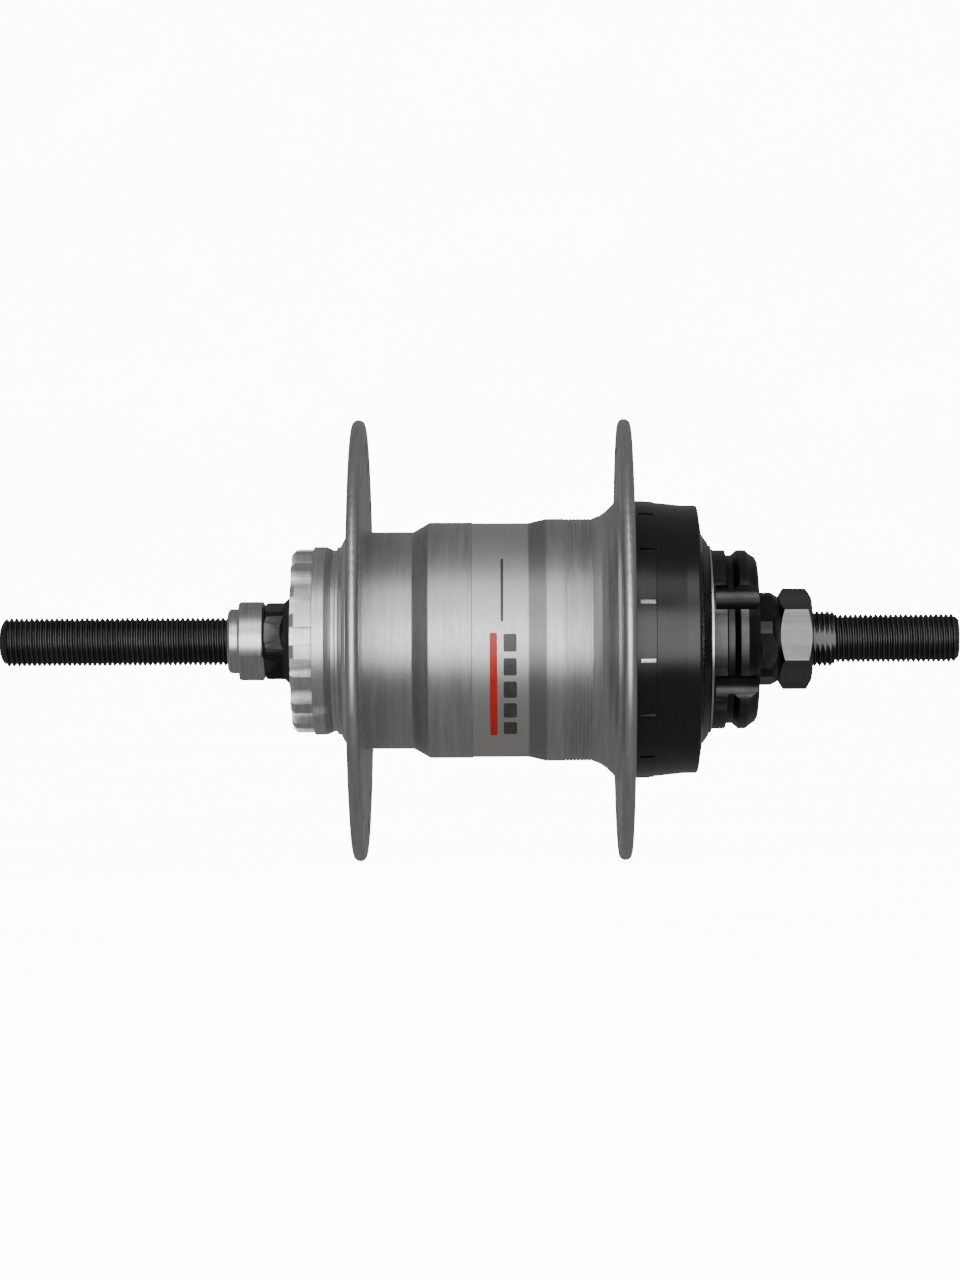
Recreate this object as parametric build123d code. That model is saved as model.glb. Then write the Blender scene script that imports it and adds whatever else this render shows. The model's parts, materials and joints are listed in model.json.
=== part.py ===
from build123d import *
import math
import os

# Bicycle hub gear, three speeds. Lengths in millimetres.
# The axle lies along Y with the drive side toward -Y and the brake side toward +Y; +Z is up and +X is
# the way the bicycle travels. The origin is on the axle's axis, midway between the two locknut faces.
# A station is a distance from that middle plane, positive toward the drive side, so Y = -station.

os.makedirs("parts", exist_ok=True)

# Axle
AXLE_LEFT_END, AXLE_RIGHT_END = -100.9, 85.1
THREAD_R, LEFT_THREAD_TO, LEFT_SEAT_R = 4.70, -56.8, 4.50
DRIVE_THREAD_R = 5.375
DRIVE_THREAD_END = 61.0
AXLE_SHOULDER_R = 5.10
AXLE_FLAT_HALF = 4.75
AXLE_FLAT_FROM = 50.0
ROD_BORE_R, ROD_BORE_FLOOR = 2.40, 12.0
FIT = 0.02

# Locknuts and cones
RIGHT_NUT_FLATS, RIGHT_NUT_FROM, RIGHT_NUT_TO = 17.0, 50.1, 56.5
RIGHT_NUT_TURN = 145.0
LEFT_NUT_R, LEFT_NUT_FLATS, LEFT_NUT_FROM, LEFT_NUT_TO = 7.65, 13.0, -54.4, -49.4
LEFT_NUT_FLAT_ANGLE = 53.0
LEFT_NUT_COLLAR_R = 6.25
LEFT_CONE_R, LEFT_CONE_FLATS, LEFT_CONE_TURN = 7.55, 13.6, 136.0
RIGHT_CONE_R, RIGHT_CONE_FLATS, RIGHT_CONE_TURN = 9.1, 16.8, 166.0

# Gear train
MODULE = 0.75
PRESSURE_ANGLE = math.radians(25)
SUN_TEETH, PLANET_TEETH, RING_TEETH = 16, 14, 44
PLANETS = 4
ADDENDUM, DEDENDUM = 0.8 * MODULE, 1.2 * MODULE
FLANK_CLEARANCE = 0.06
FLANK_STEPS = 3
GEAR_FROM, GEAR_TO = -4.4, 6.4
PLANET_FROM, PLANET_TO = -4.0, 6.2
PIN_R, PLANET_BORE_R = 1.60, 1.66
CENTRE_DISTANCE = MODULE * (SUN_TEETH + PLANET_TEETH) / 2

# Shifting
TRAVEL = 6.0
DOG_WIDTH, DOG_R, NECK_R = 5.0, 10.6, 8.4
DRIVE_DOG_R, DRIVER_BORE_R, CLUTCH_BORE_R = 11.6, 9.9, 7.4
DOG_CLEARANCE = 0.15
KEY_FROM, KEY_TO, KEY_WIDTH, KEY_REACH = 26.0, 29.0, 3.0, 8.5
NOSE_FROM, NOSE_TO, LUGS_FROM, LUGS_TO = 16.6, 20.2, 25.8, 29.8
SPRING_R, SPRING_WIRE_R, SPRING_TURNS = 6.35, 0.40, 6

# Ratchets and pawls
RATCHET_TEETH, RATCHET_TIP_R, RATCHET_ROOT_R = 24, 17.2, 18.7
RATCHET_OUTER_R = 20.3
PAWL_PIVOT_R, PAWL_PIVOT_ANGLE, PAWL_EYE_R, PAWL_PIN_R = 14.4, 15.0, 1.5, 0.8
PAWL_SPRING_R, PAWL_WIRE_R = 15.7, 0.3
CARRIER_PAWL_ANGLE, RING_PAWL_ANGLE, FOLD = 0.0, 90.0, 22.0

# Bearings: (station, pitch radius, ball radius, number of balls)
LEFT_BEARING = (-38.4, 10.6, 3.175, 9)
DRIVER_BEARING = (40.6, 10.9, 2.381, 11)
SHELL_BEARING = (29.5, 17.3, 2.381, 18)
RACE_CLEARANCE = 0.07

# Shell
FLANGE_R, FLANGE_THICKNESS = 42.8, 2.5
LEFT_FLANGE_AT, RIGHT_FLANGE_AT = -31.0, 20.3
SPOKES_PER_FLANGE, SPOKE_HOLE_R = 18, 1.45
LEFT_SPOKE_PCD, RIGHT_SPOKE_PCD = 74.0, 75.6
LEFT_SPOKE_ANGLE, RIGHT_SPOKE_ANGLE = 5.0, 15.0
SPLINE_TEETH, SPLINE_TIP_R, SPLINE_ROOT_R = 18, 17.8, 15.9
SPLINE_ANGLE = 187.0
COVER_SLOTS, COVER_SLOT_ANGLE, COVER_SLOT_WIDTH = 15, 188.6, 0.7
COVER_SEAT_R = 25.9

# Driver
DRIVER_R = 17.45
NOTCHES, NOTCH_R, NOTCH_CENTRE_R = 6, 2.75, 18.0
NOTCH_ANGLE = 152.4


def polar(radius, degrees):
    angle = math.radians(degrees)
    return radius * math.cos(angle), radius * math.sin(angle)


def rounded_wire(corners):
    """A closed wire through (x, y[, round]) corners, with a tangent arc at each corner that has a round."""
    edges, start, first = [], None, None
    count = len(corners)
    for i in range(count):
        before, here, after = (Vector(*corners[(i + k) % count][:2]) for k in (-1, 0, 1))
        size = corners[i][2] if len(corners[i]) > 2 else 0
        entry = leave = here
        if size:
            back, ahead = (before - here).normalized(), (after - here).normalized()
            half = math.radians(back.get_angle(ahead)) / 2
            reach = size / math.tan(half)
            entry, leave = here + back * reach, here + ahead * reach
            middle = here + (back + ahead).normalized() * (size / math.sin(half) - size)
        if start is not None and (entry - start).length > 1e-6:
            edges.append(Edge.make_line(start, entry))
        if size:
            edges.append(Edge.make_three_point_arc(entry, middle, leave))
        first = first or entry
        start = leave
    if (first - start).length > 1e-6:
        edges.append(Edge.make_line(start, first))
    return Wire(edges)


def turned(corners, degrees=360):
    """A solid of revolution about the axle from (radius, station[, corner round]) points."""
    points = [(corner[0], -corner[1], *corner[2:]) for corner in corners]
    return revolve(Face(rounded_wire(points)), Axis.Y, degrees)


def tube(outer, inner, start, end):
    return turned([(inner, start), (outer, start), (outer, end), (inner, end)])


def rod(radius, start, end):
    return turned([(0, start), (radius, start), (radius, end), (0, end)])


def section(station):
    """The plane across the axle at a station: x is +X, y is +Z, and extrusion is toward the drive side."""
    return Plane.XZ.offset(station)


def prism(points, start, end):
    return extrude(section(start) * make_face(Polyline(*points, close=True)), end - start)


def block(width, height, start, end, x=0, z=0):
    return extrude(section(start) * Pos(x, z) * Rectangle(width, height), end - start)


def round_bar(radius, start, end, x, z):
    return extrude(section(start) * Pos(x, z) * Circle(radius), end - start)


def around(shape, angles):
    """Copies of a shape turned about the axle, angles in degrees from +X toward +Z."""
    return [Rot(0, -angle, 0) * shape for angle in angles]


def evenly(count, first=0.0):
    return [first + 360.0 * i / count for i in range(count)]


def race(bearing):
    """The ring-shaped space that a row of balls rolls in."""
    station, pitch_r, ball_r, _ = bearing
    return turned_circle(pitch_r, station, ball_r + RACE_CLEARANCE)


def turned_circle(radius, station, wire_r, degrees=360):
    return revolve(Plane.XY * Pos(radius, -station) * Circle(wire_r), Axis.Y, degrees)


def save(name, *shapes):
    solids = [solid for shape in shapes for solid in shape.solids()]
    export_step(solids[0] if len(solids) == 1 else Compound(children=solids), f"parts/{name}.step")


def involute(angle):
    return math.tan(angle) - angle


def tooth_points(teeth, tip_r, root_r, thinning):
    """Outline of an external gear with a tooth on local +X, flanks as short chords of an involute."""
    pitch_r = MODULE * teeth / 2
    base_r = pitch_r * math.cos(PRESSURE_ANGLE)
    half = math.pi / (2 * teeth) - thinning / pitch_r
    low = max(base_r, root_r)
    flank = []
    for i in range(FLANK_STEPS + 1):
        radius = low + (tip_r - low) * i / FLANK_STEPS
        angle = half + involute(PRESSURE_ANGLE) - involute(math.acos(min(1.0, base_r / radius)))
        flank.append((radius, angle))
    if root_r < low:
        flank.insert(0, (root_r, flank[0][1]))
    points = []
    for tooth in range(teeth):
        centre = 2 * math.pi * tooth / teeth
        outline = [(r, centre - a) for r, a in flank] + [(r, centre + a) for r, a in reversed(flank)]
        points += [(r * math.cos(a), r * math.sin(a)) for r, a in outline]
    return points


def gear(teeth, start, end, tip_r=None, root_r=None, thinning=FLANK_CLEARANCE):
    pitch_r = MODULE * teeth / 2
    tip_r = tip_r or pitch_r + ADDENDUM
    root_r = root_r or pitch_r - DEDENDUM
    return prism(tooth_points(teeth, tip_r, root_r, thinning), start, end)


def hexagon(flats, start, end, turn=0.0):
    corners = [polar(flats / math.sqrt(3), turn + 60 * i) for i in range(6)]
    return prism(corners, start, end)


def ratchet(start, end):
    """A ring with saw teeth inside: steep faces take the drive, long ramps let it overrun."""
    pitch = 360.0 / RATCHET_TEETH
    points = []
    for i in range(RATCHET_TEETH):
        points.append(polar(RATCHET_TIP_R, i * pitch))
        points.append(polar(RATCHET_ROOT_R, i * pitch + 0.4))
        points.append(polar(RATCHET_ROOT_R, i * pitch + 0.3 * pitch))
    return rod(RATCHET_OUTER_R, start, end) - prism(points, start - 1, end + 1)


def pawl(start, end, fold=0.0):
    """One pawl, its tip at local +X, its eye behind it; fold turns it inward about the eye."""
    eye = polar(PAWL_PIVOT_R, PAWL_PIVOT_ANGLE)
    blade = [polar(16.0, PAWL_PIVOT_ANGLE), polar(17.6, 6.0), polar(18.45, 0.9), polar(16.6, 0.9)]
    blade += [polar(14.9, 4.0), polar(12.95, PAWL_PIVOT_ANGLE - 3)]
    shape = prism(blade, start, end) + round_bar(PAWL_EYE_R, start, end, *eye)
    shape = shape.rotate(Axis((eye[0], 0, eye[1]), (0, 1, 0)), fold)
    shape -= round_bar(PAWL_PIN_R, start - 1, end + 1, *eye)
    return shape - pawl_spring_groove((start + end) / 2)


def pawl_spring_groove(station):
    return turned_circle(PAWL_SPRING_R, station, PAWL_WIRE_R + 0.1)


def build_axle():
    body = turned([
        (0, AXLE_LEFT_END), (1.3, AXLE_LEFT_END), (THREAD_R, AXLE_LEFT_END + 1.9, 1.2),
        (THREAD_R, LEFT_THREAD_TO), (LEFT_SEAT_R, LEFT_THREAD_TO), (LEFT_SEAT_R, -34),
        (AXLE_SHOULDER_R, -34), (AXLE_SHOULDER_R, 5), (DRIVE_THREAD_R, 5),
        (DRIVE_THREAD_R, DRIVE_THREAD_END - 0.4), (DRIVE_THREAD_R - 0.4, DRIVE_THREAD_END),
        (THREAD_R, DRIVE_THREAD_END), (THREAD_R, AXLE_RIGHT_END - 1.0, 0.6),
        (THREAD_R - 1.0, AXLE_RIGHT_END), (0, AXLE_RIGHT_END),
    ])
    body += gear(SUN_TEETH, GEAR_FROM, GEAR_TO)
    body -= rod(ROD_BORE_R, ROD_BORE_FLOOR, AXLE_RIGHT_END + 1)
    body -= turned([(0, AXLE_RIGHT_END + 0.1), (3.2, AXLE_RIGHT_END + 0.1), (2.3, AXLE_RIGHT_END - 0.8),
                    (0, AXLE_RIGHT_END - 0.8)])
    body -= block(20, KEY_WIDTH + 0.2, KEY_FROM - TRAVEL - 0.1, KEY_TO + 0.1)
    flat = DRIVE_THREAD_R - AXLE_FLAT_HALF
    for side in (-1, 1):
        centre = side * (AXLE_FLAT_HALF + flat / 2 + 0.5)
        body -= block(flat + 1.0, 20, AXLE_FLAT_FROM, DRIVE_THREAD_END + 0.1, x=centre)
    save("axle", body)


def build_left_end():
    cap_inside = [(11.7, -43.1), (8.3, -43.9), (7.6, -44.6)]
    cone = turned([(LEFT_SEAT_R + FIT, -49.3), (7.0, -49.3), (LEFT_CONE_R, -48.8), (LEFT_CONE_R, -43.9),
                   (LEFT_SEAT_R + FIT, -43.9)])
    cone &= hexagon(LEFT_CONE_FLATS, -50, -43, LEFT_CONE_TURN)
    cone += turned([(LEFT_SEAT_R + FIT, -47.2), (5.9, -47.2), (7.55, -45.55), (7.55, -44.6), (8.3, -43.9),
                    (11.6, -43.1),
                    (11.6, -38.8), (8.0, -38.8), (7.2, -37.8), (6.6, -37.0), (LEFT_SEAT_R + FIT, -37.0)])
    cone -= race(LEFT_BEARING)
    save("left_cone", cone)
    cap = turned([*cap_inside, (7.6, -45.5), (8.9, -44.1), (12.9, -43.3, 0.3), (12.9, -42.3), (11.7, -42.3)])
    save("left_dust_cap", cap)
    nut = turned([(THREAD_R + FIT, -56.5), (LEFT_NUT_COLLAR_R - 0.5, -56.5), (LEFT_NUT_COLLAR_R, -56.0),
                  (LEFT_NUT_COLLAR_R, LEFT_NUT_FROM), (LEFT_NUT_R - 0.25, LEFT_NUT_FROM),
                  (LEFT_NUT_R, LEFT_NUT_FROM + 0.4), (LEFT_NUT_R, LEFT_NUT_TO - 0.35),
                  (LEFT_NUT_R - 0.5, LEFT_NUT_TO), (LEFT_SEAT_R + FIT, LEFT_NUT_TO),
                  (LEFT_SEAT_R + FIT, -56.0), (THREAD_R + FIT, -56.0)])
    flats = block(LEFT_NUT_FLATS, 30, LEFT_NUT_FROM, LEFT_NUT_TO) + rod(LEFT_NUT_COLLAR_R, -57, LEFT_NUT_FROM)
    save("left_lock_nut", nut & around(flats, [LEFT_NUT_FLAT_ANGLE])[0])


def build_right_end():
    bore = DRIVE_THREAD_R + FIT
    cone = turned([(bore, 45.0), (RIGHT_CONE_R, 45.0), (RIGHT_CONE_R, 48.6), (8.2, 50.0), (bore, 50.0)])
    cone &= hexagon(RIGHT_CONE_FLATS, 44, 51, RIGHT_CONE_TURN)
    cone += turned([(bore, 36.8), (7.0, 36.8), (7.6, 37.4), (7.6, 39.8), (8.2, 40.9), (11.6, 40.9),
                    (11.6, 45.0),
                    (9.1, 45.9), (8.4, 46.6), (bore, 46.6)])
    cone -= race(DRIVER_BEARING)
    save("right_cone", cone)
    nut = hexagon(RIGHT_NUT_FLATS, RIGHT_NUT_FROM - 0.1, RIGHT_NUT_TO, RIGHT_NUT_TURN)
    nut &= turned([(bore, 50.0), (8.15, 50.0), (10.0, 51.1), (10.0, 55.4), (8.1, RIGHT_NUT_TO),
                   (bore, RIGHT_NUT_TO)])
    save("right_lock_nut", nut)


def build_shifting():
    save("spring_seat_washer", tube(7.2, DRIVE_THREAD_R + 0.05, GEAR_TO, GEAR_TO + 0.8))
    push_rod = turned([(0, KEY_TO), (ROD_BORE_R - 0.06, KEY_TO), (ROD_BORE_R - 0.06, 82.4, 0.8), (0, 82.4)])
    save("push_rod", push_rod)
    save("axle_key", block(2 * KEY_REACH, KEY_WIDTH, KEY_FROM, KEY_TO) & rod(KEY_REACH, KEY_FROM, KEY_TO))
    start, length = GEAR_TO + 0.8 + SPRING_WIRE_R, KEY_FROM - GEAR_TO - 0.8 - 2 * SPRING_WIRE_R
    path = Helix(pitch=length / SPRING_TURNS, height=length, radius=SPRING_R)
    wire = sweep(Plane(path @ 0, z_dir=path % 0) * Circle(SPRING_WIRE_R), path=path)
    save("clutch_spring", section(start) * wire)
    clutch = tube(NECK_R, CLUTCH_BORE_R, NOSE_FROM, LUGS_TO)
    clutch += tube(DRIVER_BORE_R - 0.3, CLUTCH_BORE_R, LUGS_FROM, LUGS_TO)
    for reach, start, end in ((DOG_R, NOSE_FROM, NOSE_TO), (DRIVE_DOG_R, LUGS_FROM, LUGS_TO)):
        clutch += (dog_star(DOG_WIDTH, start, end) & rod(reach, start, end)) - rod(CLUTCH_BORE_R, start, end)
    clutch -= rod(KEY_REACH + 0.3, KEY_FROM - 0.1, LUGS_TO + 0.1)
    save("sliding_clutch", clutch)
    save("clutch_retaining_ring", tube(KEY_REACH + 0.3, CLUTCH_BORE_R, KEY_TO + 0.1, LUGS_TO))


def dog_star(width, start, end, reach=30.0):
    """Bars across the axle, one for each pair of dogs, halfway between the planets."""
    bars = around(block(2 * reach, width, start, end), [45.0, 135.0])
    return bars[0] + bars[1]


def dog_slots(start, end, bore_r=NECK_R + 0.3, reach=DOG_R + 0.3):
    slots = dog_star(DOG_WIDTH + 2 * DOG_CLEARANCE, start, end) & rod(reach, start, end)
    return slots + rod(bore_r, start, end)


def build_driver():
    body = turned([
        (DRIVER_BORE_R, 20.0), (13.2, 20.0), (13.2, 28.4), (14.6, 29.8), (17.2, 29.8), (17.2, 35.6),
        (DRIVER_R, 35.6),
        (DRIVER_R, 39.7, 0.25), (16.4, 39.85), (16.4, 41.0), (DRIVER_R, 42.1, 0.2), (DRIVER_R, 43.6),
        (16.6, 44.6), (16.0, 45.5), (15.2, 45.9), (13.6, 45.9), (13.6, 40.3), (DRIVER_BORE_R, 40.3),
    ])
    body -= dog_slots(19.0, 30.2, DRIVER_BORE_R, DRIVE_DOG_R + 0.3)
    body -= race(DRIVER_BEARING)
    body -= race(SHELL_BEARING)
    notch = round_bar(NOTCH_R, 37.4, 46.5, NOTCH_CENTRE_R, 0)
    for cutter in around(notch, evenly(NOTCHES, NOTCH_ANGLE)):
        body -= cutter
    save("driver", body)
    save("driver_dust_plate", tube(18.2, DRIVER_R + 0.01, 36.6, 36.95))


def build_ring_gear():
    body = turned([
        (14.0, GEAR_FROM - 0.2), (19.6, GEAR_FROM - 0.2), (19.6, 10.6), (16.6, 10.6), (16.6, 16.6),
        (15.6, 16.6),
        (15.6, 19.6), (7.0, 19.6), (7.0, 10.9), (14.0, 10.9),
    ])
    body -= rod(15.7, GEAR_FROM - 1, 10.9)
    body -= rod(MODULE * RING_TEETH / 2 + DEDENDUM, GEAR_TO, 8.6)
    body -= gear(
        RING_TEETH, GEAR_FROM - 1, GEAR_TO + 0.2,
        tip_r=MODULE * RING_TEETH / 2 + DEDENDUM, root_r=MODULE * RING_TEETH / 2 - ADDENDUM,
        thinning=-FLANK_CLEARANCE,
    ).rotate(Axis.Y, 180.0 / RING_TEETH)
    body -= rod(11.2, 10.8, 14.4)
    body -= dog_slots(14.3, 19.7)
    pocket_from, pocket_to = 11.9, 15.9
    pockets = around(pawl_pocket(pocket_from, pocket_to), evenly(2, RING_PAWL_ANGLE))
    pin_holes = around(pawl_pin(10.8, 16.7), evenly(2, RING_PAWL_ANGLE))
    for cutter in [*pockets, *pin_holes]:
        body -= cutter
    body -= pawl_spring_groove(13.9)
    save("ring_gear", body)
    folded = pawl(pocket_from + 0.1, pocket_to - 0.1, FOLD)
    save("ring_gear_pawls", *around(folded, evenly(2, RING_PAWL_ANGLE)))
    save("ring_gear_pawl_pins", *around(pawl_pin(11.0, 16.6), evenly(2, RING_PAWL_ANGLE)))
    save("ring_gear_pawl_spring", turned_circle(PAWL_SPRING_R, 13.9, PAWL_WIRE_R, 345))


def pawl_pocket(start, end):
    """The recess that a pawl lies in, open outward over the blade."""
    edge = [polar(19.5, PAWL_PIVOT_ANGLE + 4.0), polar(19.5, -6.5), polar(13.6, -4.0)]
    edge += [polar(12.5, 6.0), polar(12.1, PAWL_PIVOT_ANGLE), polar(14.4, PAWL_PIVOT_ANGLE + 7.5)]
    eye = polar(PAWL_PIVOT_R, PAWL_PIVOT_ANGLE)
    return prism(edge, start, end) + round_bar(PAWL_EYE_R + 0.2, start, end, *eye)


def pawl_pin(start, end):
    return round_bar(PAWL_PIN_R, start, end, *polar(PAWL_PIVOT_R, PAWL_PIVOT_ANGLE))


def build_carrier():
    body = turned([
        (AXLE_SHOULDER_R + 0.05, -16.8), (16.4, -16.8), (16.4, -9.2), (15.2, -9.2), (15.2, 10.4),
        (AXLE_SHOULDER_R + 0.05, 10.4),
    ])
    body -= rod(7.6, GEAR_FROM - 0.4, 6.6)
    body -= dog_slots(6.5, 10.5)
    places = [polar(CENTRE_DISTANCE, 90.0 * i) for i in range(PLANETS)]
    for x, z in places:
        body -= round_bar(6.4, GEAR_FROM, 6.6, x, z)
        body -= round_bar(PIN_R, -8.0, 11, x, z)
    pockets = around(pawl_pocket(-15.0, -11.0), evenly(2, CARRIER_PAWL_ANGLE))
    pin_holes = around(pawl_pin(-16.9, -9.5), evenly(2, CARRIER_PAWL_ANGLE))
    for cutter in [*pockets, *pin_holes]:
        body -= cutter
    body -= pawl_spring_groove(-13.0)
    save("planet_carrier", body)
    save("planet_pins", *[round_bar(PIN_R, -8.0, 10.4, x, z) for x, z in places])
    save("carrier_pawls", *around(pawl(-14.9, -11.1), evenly(2, CARRIER_PAWL_ANGLE)))
    save("carrier_pawl_pins", *around(pawl_pin(-16.8, -9.6), evenly(2, CARRIER_PAWL_ANGLE)))
    save("carrier_pawl_spring", turned_circle(PAWL_SPRING_R, -13.0, PAWL_WIRE_R, 345))
    wheel = gear(PLANET_TEETH, PLANET_FROM, PLANET_TO).rotate(Axis.Y, 180.0 / PLANET_TEETH)
    wheel -= rod(PLANET_BORE_R, PLANET_FROM - 1, PLANET_TO + 1)
    for number, angle in enumerate(evenly(PLANETS), 1):
        save(f"planet_gear_{number}", around(Pos(CENTRE_DISTANCE, 0, 0) * wheel, [angle])[0])


def build_bearing(name, bearing, web_side):
    """Balls and the cage that spaces them; its web lies toward web_side (radial, axial) of the balls."""
    station, pitch_r, ball_r, count = bearing
    ball = Pos(pitch_r, -station, 0) * Sphere(ball_r)
    save(f"{name}_balls", *around(ball, evenly(count)))
    radial, axial = (component / math.sqrt(2) for component in web_side)
    half, near, far = 0.42, 0.3, ball_r + 0.9
    corners = [(d * radial + w * axial, d * axial - w * radial) for d, w in
               ((near, -half), (far, -half), (far, half), (near, half))]
    cage = turned([(pitch_r + r, station + s) for r, s in corners])
    pocket = Pos(pitch_r, -station, 0) * Sphere(ball_r + 0.1)
    for cutter in around(pocket, evenly(count)):
        cage -= cutter
    save(f"{name}_cage", cage)


def build_flange(name, station, hub_r, spoke_pcd, first_angle):
    half, rim = FLANGE_THICKNESS / 2, 1.6
    plate = half - 0.15
    body = turned([
        (hub_r, station - plate), (FLANGE_R - 5.0, station - plate), (FLANGE_R - 3.2, station - half, 1.0),
        (FLANGE_R, station - half, 1.2), (FLANGE_R, station + half, 1.2),
        (FLANGE_R - 3.2, station + half, 1.0),
        (FLANGE_R - 5.0, station + plate), (hub_r, station + plate),
    ])
    hole = rod(SPOKE_HOLE_R, station - 5, station + 5)
    sink = turned([(0, -plate - 0.1), (2.05, -plate - 0.1), (SPOKE_HOLE_R, -plate + 0.5),
                   (SPOKE_HOLE_R, plate - 0.5),
                   (2.05, plate + 0.1), (0, plate + 0.1)])
    cutter = hole + Pos(0, -station, 0) * sink
    for tool in around(Pos(spoke_pcd / 2, 0, 0) * cutter, evenly(SPOKES_PER_FLANGE, first_angle)):
        body -= tool
    save(name, body)


def build_shell():
    left_face, right_face = LEFT_FLANGE_AT + 1.1, RIGHT_FLANGE_AT - 1.1
    profile = [
        (19.9, LEFT_FLANGE_AT - 1.1), (19.9, left_face), (21.05, left_face), (21.05, -20.5, 0.6),
        (22.85, -17.4, 0.6),
        (22.85, -9.15), (22.7, -9.05), (22.7, 1.65, 0.5), (23.5, 5.15, 0.5), (23.5, 8.3),
    ]
    for groove in range(8):
        station = 8.6 + 0.7 * groove
        profile += [(23.5, station), (23.38, station + 0.12), (23.38, station + 0.36), (23.5, station + 0.48)]
    profile += [
        (23.7, 14.5), (24.15, 15.6), (25.0, 16.8), (26.2, 18.0), (27.2, right_face - 0.6), (27.4, right_face),
        (22.0, right_face), (22.0, 21.6), (RATCHET_OUTER_R, 21.6), (RATCHET_OUTER_R, -17.0), (18.2, -17.0),
        (18.2, LEFT_FLANGE_AT - 1.1),
    ]
    save("shell_body", turned(profile))
    build_flange("left_flange", LEFT_FLANGE_AT, 19.9, LEFT_SPOKE_PCD, LEFT_SPOKE_ANGLE)
    build_flange("right_flange", RIGHT_FLANGE_AT, 22.0, RIGHT_SPOKE_PCD, RIGHT_SPOKE_ANGLE)
    save("carrier_ratchet_ring", ratchet(-16.6, -9.6))


def build_left_bearing_housing():
    ring = turned([
        (15.2, -43.9), (SPLINE_ROOT_R, -43.9), (SPLINE_ROOT_R, -39.7), (18.25, -39.7, 0.15), (18.25, -37.4),
        (17.9, -36.5), (17.6, -36.0), (17.6, -35.4), (18.2, -35.2, 0.15), (18.2, -34.7, 0.15), (18.5, -34.5),
        (19.7, -33.9, 0.3), (20.4, -33.2), (20.4, -32.15), (18.2, -32.15), (18.2, -27.0), (15.8, -27.0),
        (15.8, -33.6), (15.2, -33.6),
    ])
    teeth = turned([(SPLINE_ROOT_R - 1, -43.9), (17.0, -43.9), (SPLINE_TIP_R, -43.1, 0.4),
                    (SPLINE_TIP_R, -39.6),
                    (SPLINE_ROOT_R - 1, -39.6)])
    wedge = prism([(0, 0), polar(25, -4.25), polar(25, 4.25)], -44.5, -39)
    for cutter in around(wedge, evenly(SPLINE_TEETH, SPLINE_ANGLE)):
        ring += teeth & cutter
    ring -= rod(15.2, -45, -33.6)
    save("brake_spline_ring", ring)
    cup = turned([(14.0, -42.0), (15.2, -42.0), (15.2, -33.6), (9.3, -33.6), (9.3, -38.0), (14.0, -38.0)])
    save("left_ball_cup", cup - race(LEFT_BEARING))
    save("left_seal", turned([(13.3, -43.6), (15.2, -43.6), (15.2, -42.0), (14.3, -42.0), (13.3, -43.1)]))


def build_right_bearing_housing():
    cup = turned([
        (16.4, 17.2), (RATCHET_OUTER_R, 17.2), (RATCHET_OUTER_R, 21.6), (COVER_SEAT_R, 21.6),
        (COVER_SEAT_R, 25.9), (24.0, 25.9), (24.0, 33.0, 0.6), (22.5, 34.0),
        (19.9, 34.0), (19.9, 29.2), (16.4, 29.2),
    ])
    cup += ratchet(11.4, 17.2)
    save("right_ball_cup", cup - race(SHELL_BEARING))
    save("right_seal", turned([(17.9, 33.4), (18.6, 32.8), (19.9, 32.8), (19.9, 34.0), (18.2, 34.0)]))
    cover = turned([
        (COVER_SEAT_R + 0.05, 21.65), (26.9, 21.65, 0.3), (26.9, 23.6), (26.75, 25.75), (26.6, 25.85),
        (26.0, 31.6),
        (26.0, 34.3, 0.6), (20.6, 35.1), (19.9, 35.6, 0.2), (18.9, 36.35), (18.6, 36.35), (18.6, 35.6),
        (19.6, 34.9),
        (20.4, 34.4), (24.6, 34.1), (24.6, 26.0), (COVER_SEAT_R + 0.05, 26.0),
    ])
    slot = block(8.0, COVER_SLOT_WIDTH, 22.75, 25.6, x=26.0)
    for cutter in around(slot, evenly(COVER_SLOTS, COVER_SLOT_ANGLE)):
        cover -= cutter
    save("right_dust_cover", cover)


build_axle()
build_left_end()
build_right_end()
build_shifting()
build_driver()
build_ring_gear()
build_carrier()
build_bearing("left", LEFT_BEARING, (-1, 1))
build_bearing("driver", DRIVER_BEARING, (-1, -1))
build_bearing("shell", SHELL_BEARING, (-1, -1))
build_shell()
build_left_bearing_housing()
build_right_bearing_housing()
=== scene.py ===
import json
import math

import bmesh
import bpy
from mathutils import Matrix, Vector


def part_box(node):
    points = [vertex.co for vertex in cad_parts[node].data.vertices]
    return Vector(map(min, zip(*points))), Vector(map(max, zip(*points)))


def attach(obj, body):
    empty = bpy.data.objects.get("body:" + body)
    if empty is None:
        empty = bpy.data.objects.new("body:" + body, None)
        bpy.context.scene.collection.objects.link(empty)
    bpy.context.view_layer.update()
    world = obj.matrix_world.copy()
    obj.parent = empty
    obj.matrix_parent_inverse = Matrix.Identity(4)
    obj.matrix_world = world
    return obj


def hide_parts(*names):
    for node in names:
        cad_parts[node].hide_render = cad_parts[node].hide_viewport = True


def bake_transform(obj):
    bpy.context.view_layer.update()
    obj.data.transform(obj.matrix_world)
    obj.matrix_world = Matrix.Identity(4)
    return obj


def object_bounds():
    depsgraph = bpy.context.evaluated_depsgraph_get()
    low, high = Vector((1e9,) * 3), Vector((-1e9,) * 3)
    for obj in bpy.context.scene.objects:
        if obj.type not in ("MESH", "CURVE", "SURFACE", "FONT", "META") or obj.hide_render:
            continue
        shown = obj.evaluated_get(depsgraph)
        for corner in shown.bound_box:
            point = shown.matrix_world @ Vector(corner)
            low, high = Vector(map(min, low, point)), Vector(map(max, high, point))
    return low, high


# Bicycle hub gear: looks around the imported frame. Metres; the axle runs along Y, drive side toward -Y.

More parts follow.
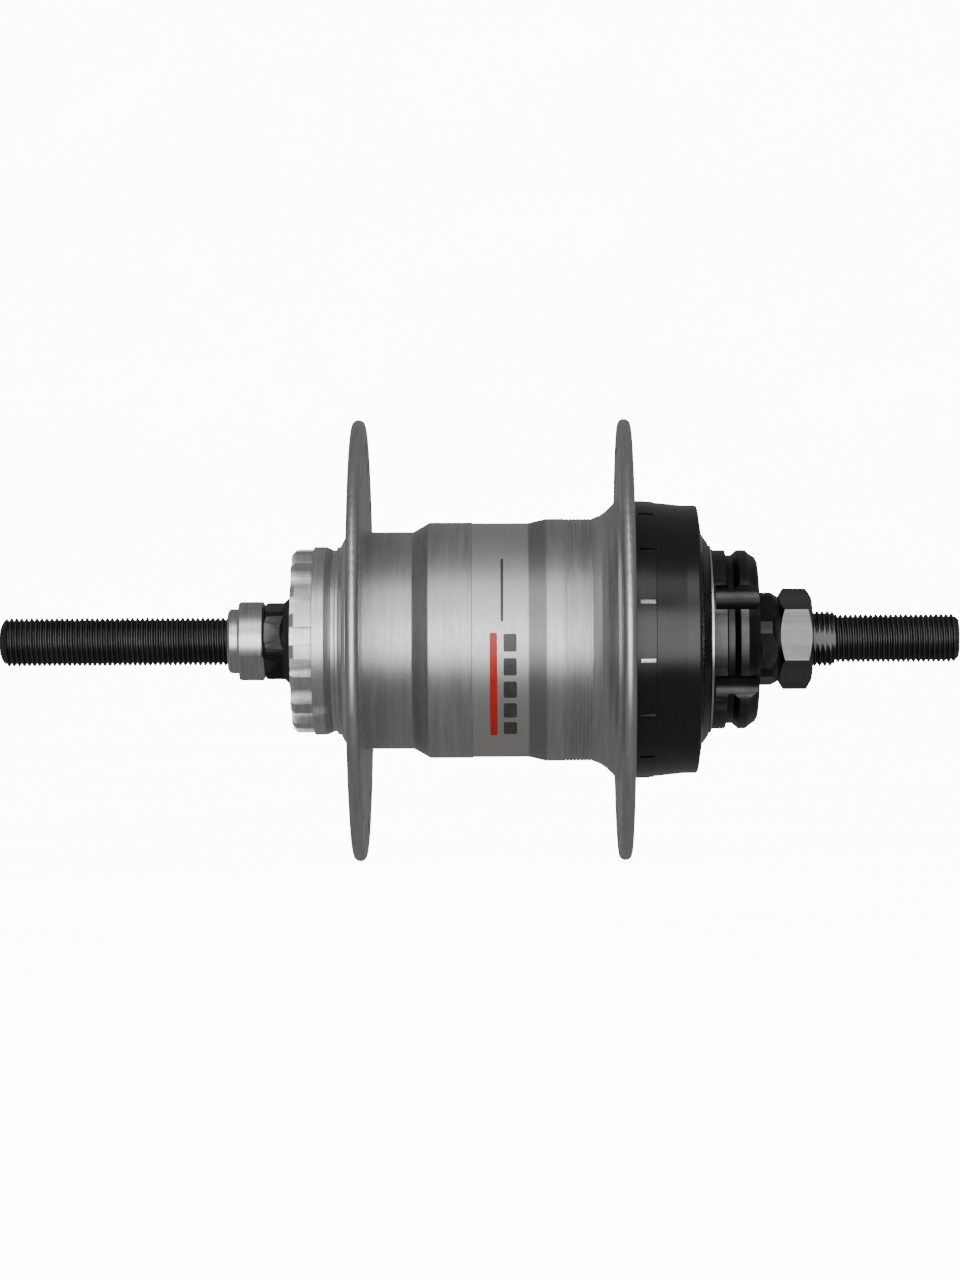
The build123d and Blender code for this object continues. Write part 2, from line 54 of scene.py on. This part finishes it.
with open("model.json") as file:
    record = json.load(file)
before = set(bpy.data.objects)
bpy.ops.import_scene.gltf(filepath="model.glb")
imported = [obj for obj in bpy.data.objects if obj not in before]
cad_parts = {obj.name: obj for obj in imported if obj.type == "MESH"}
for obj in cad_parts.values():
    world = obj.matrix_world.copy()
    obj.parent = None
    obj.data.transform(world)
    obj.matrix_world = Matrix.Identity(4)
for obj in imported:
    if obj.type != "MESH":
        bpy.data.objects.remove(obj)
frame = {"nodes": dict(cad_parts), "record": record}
cad_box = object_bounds()
MM = 0.001

# Axle threads, in millimetres. A station is the distance from the middle plane toward the drive side.
THREAD_R, DRIVE_THREAD_R, BORE_R = 4.70, 5.375, 2.40
THREAD_PITCH, DRIVE_THREAD_PITCH = 25.4 / 26, 1.0
THREAD_DEPTH = 0.56
LEFT_CUT, RIGHT_CUT = -49.9, 50.4
LEFT_THREAD_TO, LEFT_SEAT_R = -56.8, 4.48
DRIVE_THREAD_END = 61.0
FLAT_HALF = 4.75
AROUND = 80
LABEL_R = 22.7


# ---------------------------------------------------------------- materials

class Graph:
    """A material's node tree, built with short calls."""

    def __init__(self, name):
        self.material = bpy.data.materials.new(name)
        self.material.use_nodes = True
        self.tree = self.material.node_tree
        self.shader = self.tree.nodes["Principled BSDF"]
        self.object_coords = self.node("ShaderNodeTexCoord").outputs["Object"]

    def node(self, kind, **settings):
        made = self.tree.nodes.new(kind)
        for key, value in settings.items():
            setattr(made, key, value)
        return made

    def wire(self, source, target):
        self.tree.links.new(source, target)

    def noise(self, scale, stretch=(1, 1, 1), detail=4.0, roughness=0.6):
        mapping = self.node("ShaderNodeMapping")
        mapping.inputs["Scale"].default_value = stretch
        self.wire(self.object_coords, mapping.inputs["Vector"])
        texture = self.node("ShaderNodeTexNoise")
        texture.inputs["Scale"].default_value = scale
        texture.inputs["Detail"].default_value = detail
        texture.inputs["Roughness"].default_value = roughness
        self.wire(mapping.outputs["Vector"], texture.inputs["Vector"])
        return texture.outputs["Fac"]

    def ramp(self, value, stops):
        made = self.node("ShaderNodeValToRGB")
        elements = made.color_ramp.elements
        while len(elements) < len(stops):
            elements.new(0.5)
        for element, (position, colour) in zip(elements, stops):
            element.position = position
            element.color = (*colour, 1) if len(colour) == 3 else colour
        self.wire(value, made.inputs["Fac"])
        return made.outputs["Color"]

    def spread(self, value, low, high, from_low=0.3, from_high=0.7):
        made = self.node("ShaderNodeMapRange")
        limits = {"From Min": from_low, "From Max": from_high, "To Min": low, "To Max": high}
        for key, number in limits.items():
            made.inputs[key].default_value = number
        self.wire(value, made.inputs["Value"])
        return made.outputs["Result"]

    def maths(self, operation, a, b):
        made = self.node("ShaderNodeMath", operation=operation)
        for socket, value in zip(made.inputs, (a, b)):
            if isinstance(value, (int, float)):
                socket.default_value = value
            else:
                self.wire(value, socket)
        return made.outputs["Value"]

    def blend(self, factor, a, b, kind="MIX"):
        made = self.node("ShaderNodeMix", data_type="RGBA", blend_type=kind)
        for index, value in ((0, factor), (6, a), (7, b)):
            if isinstance(value, (int, float)):
                made.inputs[index].default_value = value
            elif isinstance(value, tuple):
                made.inputs[index].default_value = (*value, 1)
            else:
                self.wire(value, made.inputs[index])
        return made.outputs[2]

    def bump(self, height, strength, distance):
        made = self.node("ShaderNodeBump")
        made.inputs["Strength"].default_value = strength
        made.inputs["Distance"].default_value = distance
        self.wire(height, made.inputs["Height"])
        self.wire(made.outputs["Normal"], self.shader.inputs["Normal"])

    def worn_edges(self, low=0.52, high=0.60):
        pointy = self.node("ShaderNodeNewGeometry").outputs["Pointiness"]
        return self.spread(pointy, 0.0, 1.0, low, high)

    def station(self):
        """Distance from the middle plane toward the drive side, in millimetres."""
        split = self.node("ShaderNodeSeparateXYZ")
        self.wire(self.object_coords, split.inputs["Vector"])
        return self.maths("MULTIPLY", split.outputs["Y"], -1000.0)

    def between(self, value, low, high, soft=0.12):
        rise = self.spread(value, 0.0, 1.0, low - soft, low + soft)
        fall = self.spread(value, 1.0, 0.0, high - soft, high + soft)
        return self.maths("MULTIPLY", rise, fall)

    def set(self, **values):
        for key, value in values.items():
            socket = self.shader.inputs[key.replace("_", " ")]
            if isinstance(value, (int, float)):
                socket.default_value = value
            elif isinstance(value, tuple):
                socket.default_value = (*value, 1)
            else:
                self.wire(value, socket)


TURNED = (0.05, 1.0, 0.05)


def turned_metal(name, dark, light, rough=(0.25, 0.4), streak=2200, depth=0.000012, metallic=1.0, grain=9000,
                 worn=None):
    """Metal cut or brushed round the axle: streaks vary along Y and run round it."""
    g = Graph(name)
    broad = g.noise(streak, TURNED, 5.0, 0.65)
    fine = g.noise(grain, TURNED, 3.0, 0.7)
    spots = g.noise(260, (1, 1, 1), 3.0, 0.5)
    colour = g.ramp(broad, [(0.32, dark), (0.68, light)])
    colour = g.blend(g.spread(spots, 0.0, 0.22), colour, tuple(0.72 * c for c in dark))
    if worn:
        colour = g.blend(g.worn_edges(), colour, worn)
    g.set(Base_Color=colour, Metallic=metallic, Roughness=g.spread(fine, *rough))
    g.bump(g.maths("ADD", broad, fine), 0.35, depth)
    return g


def grained_metal(name, dark, light, rough=(0.3, 0.45), scale=1500, depth=0.00001, metallic=1.0, worn=None):
    """Metal with an even fine grain, such as blasted, cast or blackened steel."""
    g = Graph(name)
    cloud = g.noise(scale * 0.12, (1, 1, 1), 4.0, 0.6)
    fine = g.noise(scale * 4, (1, 1, 1), 3.0, 0.7)
    colour = g.ramp(cloud, [(0.3, dark), (0.7, light)])
    if worn:
        colour = g.blend(g.worn_edges(), colour, worn)
    g.set(Base_Color=colour, Metallic=metallic, Roughness=g.spread(fine, *rough))
    g.bump(fine, 0.4, depth)
    return g


def shell_metal():
    g = Graph("turned_shell_aluminium")
    at = g.station()
    broad = g.noise(900, TURNED, 6.0, 0.72)
    fine = g.noise(5200, TURNED, 3.0, 0.7)
    sweep = g.noise(60, (1, 1, 1), 3.0, 0.5)
    shades = [(0.30, (0.40, 0.398, 0.395)), (0.5, (0.48, 0.478, 0.475)), (0.70, (0.57, 0.568, 0.565))]
    colour = g.ramp(broad, shades)
    label = g.between(at, -9.05, 1.65)
    colour = g.blend(label, colour, (0.58, 0.565, 0.56))
    colour = g.blend(g.between(at, 1.75, 5.1, 0.25), colour, (0.30, 0.295, 0.29))
    colour = g.blend(g.spread(sweep, 0.0, 0.15), colour, (0.40, 0.395, 0.39))
    rough = g.maths("ADD", g.spread(fine, 0.38, 0.52), g.maths("MULTIPLY", label, 0.04))
    g.set(Base_Color=colour, Metallic=1.0, Roughness=rough)
    smooth = g.spread(label, 1.0, 0.35, 0.0, 1.0)
    g.bump(g.maths("MULTIPLY", g.maths("ADD", broad, fine), smooth), 0.35, 0.00002)
    return g


def gloss_black():
    g = Graph("gloss_black_plastic")
    flow = g.noise(90, (1, 1, 1), 3.0, 0.5)
    grain = g.noise(4200, (1, 1, 1), 2.0, 0.6)
    colour = g.ramp(flow, [(0.3, (0.006, 0.006, 0.006)), (0.7, (0.010, 0.010, 0.010))])
    g.set(Base_Color=colour, Roughness=g.spread(flow, 0.24, 0.30))
    g.bump(grain, 0.08, 0.000006)
    g.shader.inputs["Specular IOR Level"].default_value = 0.40
    return g


def rubber(name="seal_rubber"):
    g = Graph(name)
    grain = g.noise(3500, (1, 1, 1), 3.0, 0.6)
    g.set(Base_Color=g.ramp(grain, [(0.3, (0.010, 0.010, 0.010)), (0.7, (0.022, 0.022, 0.022))]),
          Roughness=g.spread(grain, 0.55, 0.75))
    g.bump(grain, 0.5, 0.00003)
    return g


def paint(name, dark, light):
    g = Graph(name)
    mottle = g.noise(700, (1, 1, 1), 4.0, 0.6)
    g.set(Base_Color=g.ramp(mottle, [(0.3, dark), (0.7, light)]), Roughness=g.spread(mottle, 0.34, 0.48))
    g.bump(mottle, 0.2, 0.00001)
    return g


MATERIALS = {
    "black_axle": grained_metal("black_axle_steel", (0.055, 0.055, 0.056), (0.090, 0.090, 0.091),
                                (0.36, 0.52), worn=(0.16, 0.16, 0.16)),
    "black_oxide": grained_metal("black_oxide_steel", (0.024, 0.024, 0.025), (0.042, 0.042, 0.043),
                                 (0.30, 0.44), worn=(0.13, 0.13, 0.13)),
    "black_nut": grained_metal("black_nut_steel", (0.035, 0.035, 0.036), (0.075, 0.075, 0.076), (0.26, 0.40),
                               worn=(0.14, 0.14, 0.14)),
    "black_cap": rubber("dust_cap_black"),
    "nut_steel": turned_metal("turned_nut_steel", (0.42, 0.42, 0.42), (0.62, 0.62, 0.62), (0.28, 0.40), 2600),
    "hardened_steel": grained_metal("hardened_steel", (0.36, 0.36, 0.37), (0.50, 0.50, 0.51), (0.22, 0.36)),
    "gear_steel": grained_metal("gear_steel", (0.30, 0.30, 0.31), (0.44, 0.44, 0.45), (0.26, 0.42)),
    "spring_steel": grained_metal("spring_steel", (0.30, 0.31, 0.33), (0.42, 0.43, 0.45), (0.18, 0.30)),
    "shell_aluminium": shell_metal(),
    "flange_aluminium": turned_metal("satin_flange_aluminium", (0.42, 0.42, 0.415), (0.56, 0.56, 0.555),
                                     (0.34, 0.48), 1500),
    "spline_steel": turned_metal("satin_spline_metal", (0.50, 0.50, 0.495), (0.68, 0.68, 0.675),
                                 (0.34, 0.48), 1800, worn=(0.92, 0.92, 0.92)),
    "cup_steel": turned_metal("ground_cup_steel", (0.50, 0.50, 0.50), (0.68, 0.68, 0.68), (0.18, 0.30), 2400),
    "seal_rubber": rubber(),
    "cover_plastic": gloss_black(),
    "ball_steel": grained_metal("ball_steel", (0.66, 0.66, 0.68), (0.74, 0.74, 0.76), (0.05, 0.10), 600,
                                0.000002),
    "cage_steel": grained_metal("cage_steel", (0.40, 0.38, 0.32), (0.52, 0.50, 0.42), (0.28, 0.42)),
}

for entry in frame["record"]["subparts"]:
    node = frame["nodes"][entry["node"]]
    node.data.materials.clear()
    node.data.materials.append(MATERIALS[entry["material_slot"]].material)


# ---------------------------------------------------------------- meshes

def finish_mesh(bm, name, material, sharp_degrees=38):
    bmesh.ops.remove_doubles(bm, verts=bm.verts, dist=2e-7)
    bmesh.ops.dissolve_degenerate(bm, edges=bm.edges, dist=1e-7)
    bmesh.ops.recalc_face_normals(bm, faces=bm.faces)
    mesh = bpy.data.meshes.new(name)
    bm.to_mesh(mesh)
    bm.free()
    mesh.polygons.foreach_set("use_smooth", [True] * len(mesh.polygons))
    mesh.set_sharp_from_angle(angle=math.radians(sharp_degrees))
    mesh.materials.append(material)
    made = bpy.data.objects.new(name, mesh)
    bpy.context.scene.collection.objects.link(made)
    return made


def thread_radius(major, phase):
    """Sixty-degree thread with a flat crest and a narrow flat root; phase runs 0 to 1 over one pitch."""
    crest, flank = 0.16, 0.36
    if phase < crest:
        return major
    if phase < crest + flank:
        return major - THREAD_DEPTH * (phase - crest) / flank
    if phase < 1 - flank:
        return major - THREAD_DEPTH
    return major - THREAD_DEPTH * (1 - phase) / flank


def add_thread(bm, start, end, major, pitch, limit, bore=0.0, flat=None):
    """A closed threaded length: rows of points follow the helix, limit(station) trims the ends."""
    steps = [0.0, 0.08, 0.16, 0.34, 0.52, 0.64, 0.82]
    turns = int((end - start) / pitch) + 3
    rows = []
    for k in range(turns * len(steps)):
        turn, step = divmod(k, len(steps))
        row = []
        for j in range(AROUND):
            share = j / AROUND
            at = start - pitch + pitch * (turn + steps[step] + share)
            at = min(max(at, start), end)
            phase = ((at - start) / pitch - share) % 1.0
            radius = min(thread_radius(major, phase), limit(at))
            angle = 2 * math.pi * share
            x, z = radius * math.cos(angle), radius * math.sin(angle)
            if flat:
                x = max(-flat, min(flat, x))
            row.append(bm.verts.new((x * MM, -at * MM, z * MM)))
        rows.append(row)
    for k in range(len(rows) - 1):
        for j in range(AROUND - 1):
            bm.faces.new((rows[k][j], rows[k][j + 1], rows[k + 1][j + 1], rows[k + 1][j]))
        if k + 1 + len(steps) < len(rows):
            bm.faces.new((rows[k][-1], rows[k + len(steps)][0], rows[k + 1 + len(steps)][0], rows[k + 1][-1]))
    bmesh.ops.remove_doubles(bm, verts=bm.verts, dist=2e-7)
    loops = {}
    for edge in bm.edges:
        if edge.is_boundary:
            y = (edge.verts[0].co.y + edge.verts[1].co.y) / 2
            for at in (start, end):
                if abs(y + at * MM) < 1e-7:
                    loops.setdefault(at, []).append(edge)
    inner = {}
    for at in (start, end):
        if not bore:
            bmesh.ops.contextual_create(bm, geom=loops[at])
            continue
        ring = [bm.verts.new((bore * MM * math.cos(2 * math.pi * j / AROUND), -at * MM,
                              bore * MM * math.sin(2 * math.pi * j / AROUND))) for j in range(AROUND)]
        edges = [bm.edges.new((ring[j], ring[(j + 1) % AROUND])) for j in range(AROUND)]
        bmesh.ops.bridge_loops(bm, edges=loops[at] + edges)
        inner[at] = ring
    if bore:
        for j in range(AROUND):
            k = (j + 1) % AROUND
            bm.faces.new((inner[start][j], inner[start][k], inner[end][k], inner[end][j]))


def build_axle():
    """The CAD axle between the cones, with real helical threads on its two ends."""
    source = frame["nodes"]["axle"]
    core = bmesh.new()
    core.from_mesh(source.data)
    bmesh.ops.remove_doubles(core, verts=core.verts, dist=1e-6)
    for station, side in ((LEFT_CUT, 1), (RIGHT_CUT, -1)):
        geometry = core.verts[:] + core.edges[:] + core.faces[:]
        cut = bmesh.ops.bisect_plane(core, geom=geometry, plane_co=(0, -station * MM, 0),
                                     plane_no=(0, side, 0), clear_outer=True)
        edges = [e for e in cut["geom_cut"] if isinstance(e, bmesh.types.BMEdge)]
        bmesh.ops.triangle_fill(core, edges=edges, use_beauty=True)
    left_end = -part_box("axle")[1].y / MM
    right_end = -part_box("axle")[0].y / MM

    def left_limit(at):
        if at > LEFT_THREAD_TO:
            return LEFT_SEAT_R
        depth = min(max(at - left_end, 0.0) / 2.0, 1.0)
        return 1.3 + (THREAD_R - 1.3) * math.sqrt(1 - (1 - depth) ** 2)

    def right_limit(at):
        return THREAD_R - 1.0 + min(right_end - at, 1.0)

    def step_limit(at):
        return DRIVE_THREAD_R - 0.5 + min(DRIVE_THREAD_END - at, 0.5)

    parts = [core]
    for start, end, major, pitch, limit, bore, flat in (
        (left_end, LEFT_CUT, THREAD_R, THREAD_PITCH, left_limit, 0.0, None),
        (RIGHT_CUT, DRIVE_THREAD_END, DRIVE_THREAD_R, DRIVE_THREAD_PITCH, step_limit, BORE_R, FLAT_HALF),
        (DRIVE_THREAD_END, right_end, THREAD_R, THREAD_PITCH, right_limit, BORE_R, None),
    ):
        bm = bmesh.new()
        add_thread(bm, start, end, major, pitch, limit, bore, flat)
        parts.append(bm)
    whole = bmesh.new()
    for part in parts:
        temporary = bpy.data.meshes.new("part")
        part.to_mesh(temporary)
        part.free()
        whole.from_mesh(temporary)
        bpy.data.meshes.remove(temporary)
    axle = finish_mesh(whole, "threaded_axle", MATERIALS["black_axle"].material, 30)
    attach(axle, "axle_assembly")
    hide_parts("axle")


def build_spring():
    """The clutch spring, copied from the CAD coil into a smooth-shaded mesh of its own."""
    source = frame["nodes"]["clutch_spring"]
    coil = bmesh.new()
    coil.from_mesh(source.data)
    spring = finish_mesh(coil, "coil_spring", MATERIALS["spring_steel"].material)
    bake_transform(spring)
    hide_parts("clutch_spring")


def band_mark(name, material, start, end, low, high, corner=0.2):
    """A thin printed mark on the label band, from station start to end and from arc low to high in mm."""
    bm = bmesh.new()
    outer, inner = LABEL_R + 0.035, LABEL_R - 0.08
    columns, rows = 6, max(6, int((high - low) * 3))
    half, middle = (end - start) / 2, (start + end) / 2

    def outline(row):
        along = low + (high - low) * row / rows
        near = min(along - low, high - along)
        inset = corner - math.sqrt(max(corner ** 2 - max(corner - near, 0) ** 2, 0))
        return along, half - inset

    shells = []
    for radius in (outer, inner):
        grid = []
        for row in range(rows + 1):
            along, wide = outline(row)
            angle = math.pi - along / LABEL_R
            x, z = radius * MM * math.cos(angle), radius * MM * math.sin(angle)
            across = [-(middle + wide * (2 * c / columns - 1)) * MM for c in range(columns + 1)]
            grid.append([bm.verts.new((x, y, z)) for y in across])
        for row in range(rows):
            for c in range(columns):
                bm.faces.new((grid[row][c], grid[row][c + 1], grid[row + 1][c + 1], grid[row + 1][c]))
        edge = grid[0] + [r[-1] for r in grid[1:]] + grid[-1][-2::-1] + [r[0] for r in grid[-2:0:-1]]
        shells.append(edge)
    count = len(shells[0])
    for i in range(count):
        k = (i + 1) % count
        bm.faces.new((shells[0][i], shells[0][k], shells[1][k], shells[1][i]))
    mark = finish_mesh(bm, name, material)
    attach(mark, "hub_shell")


build_axle()
build_spring()
red = paint("red_print", (0.42, 0.010, 0.006), (0.52, 0.018, 0.010)).material
dark = paint("dark_print", (0.035, 0.035, 0.037), (0.06, 0.06, 0.062)).material
band_mark("label_bar", red, -5.7, -4.3, -21.0, 1.4)
for index in range(5):
    top = 1.2 - 4.6 * index
    band_mark(f"label_dash_{index + 1}", dark, -3.1, -0.6, top - 3.4, top)
band_mark("label_rule", dark, -3.6, -3.1, 3.5, 17.0, 0.1)


# ---------------------------------------------------------------- studio

def area_light(name, place, aim, size, power, height=None):
    data = bpy.data.lights.new(name, "AREA")
    data.energy = power
    data.size = size
    if height:
        data.shape = "RECTANGLE"
        data.size_y = height
    light = bpy.data.objects.new(name, data)
    light.location = place
    light.rotation_euler = (Vector(aim) - Vector(place)).to_track_quat("-Z", "Y").to_euler()
    bpy.context.scene.collection.objects.link(light)
    return light


FLOOR_GLOW = 14.0


def sweep_floor(level):
    """A pale light table that curves up into a backdrop; its glow does not light the object."""
    bm = bmesh.new()
    profile = [(-3.0, level), (0.9, level)]
    profile += [(0.9 + 1.0 * math.sin(a), level + 1.0 * (1 - math.cos(a)))
                for a in (math.radians(9 * i) for i in range(1, 11))]
    profile += [(1.9, level + 4.0)]
    rows = [[bm.verts.new((x, y, z)) for y in (-4.0, 4.0)] for x, z in profile]
    for a, b in zip(rows, rows[1:]):
        bm.faces.new((a[0], a[1], b[1], b[0]))
    g = Graph("pale_floor")
    mottle = g.noise(9, (1, 1, 1), 3.0, 0.5)
    pale = g.ramp(mottle, [(0.3, (0.93, 0.93, 0.93)), (0.7, (0.96, 0.96, 0.96))])
    g.set(Base_Color=pale, Roughness=0.9, Emission_Color=pale, Emission_Strength=FLOOR_GLOW)
    floor = finish_mesh(bm, "floor", g.material)
    floor.visible_glossy = False
    floor.visible_diffuse = False


CAMERA_DISTANCE, CAMERA_LENS, CAMERA_ROLL = 0.780, 150.6, math.radians(0.26)
LOOK_STATION = -0.9

sweep_floor(cad_box[0][2])
camera_data = bpy.data.cameras.new("camera")
camera_data.sensor_fit = "HORIZONTAL"
camera_data.sensor_width = 36.0
camera_data.lens = CAMERA_LENS
camera_data.shift_x = -0.0365
camera_data.clip_start = 0.01
camera = bpy.data.objects.new("camera", camera_data)
camera.location = (-CAMERA_DISTANCE, -LOOK_STATION * MM, 0.0)
camera.rotation_euler = (math.radians(90), CAMERA_ROLL, math.radians(-90))
bpy.context.scene.collection.objects.link(camera)
bpy.context.scene.camera = camera

area_light("front", (-1.25, 0.0, 0.06), (0, 0, 0), 1.1, 16.0, 0.95)
area_light("key", (-0.75, 0.10, 0.75), (0, 0, 0), 0.8, 3.0, 0.45)

world = bpy.data.worlds.new("studio")
world.use_nodes = True
world.node_tree.nodes["Background"].inputs["Color"].default_value = (1, 1, 1, 1)
world.node_tree.nodes["Background"].inputs["Strength"].default_value = 0.24
bpy.context.scene.world = world
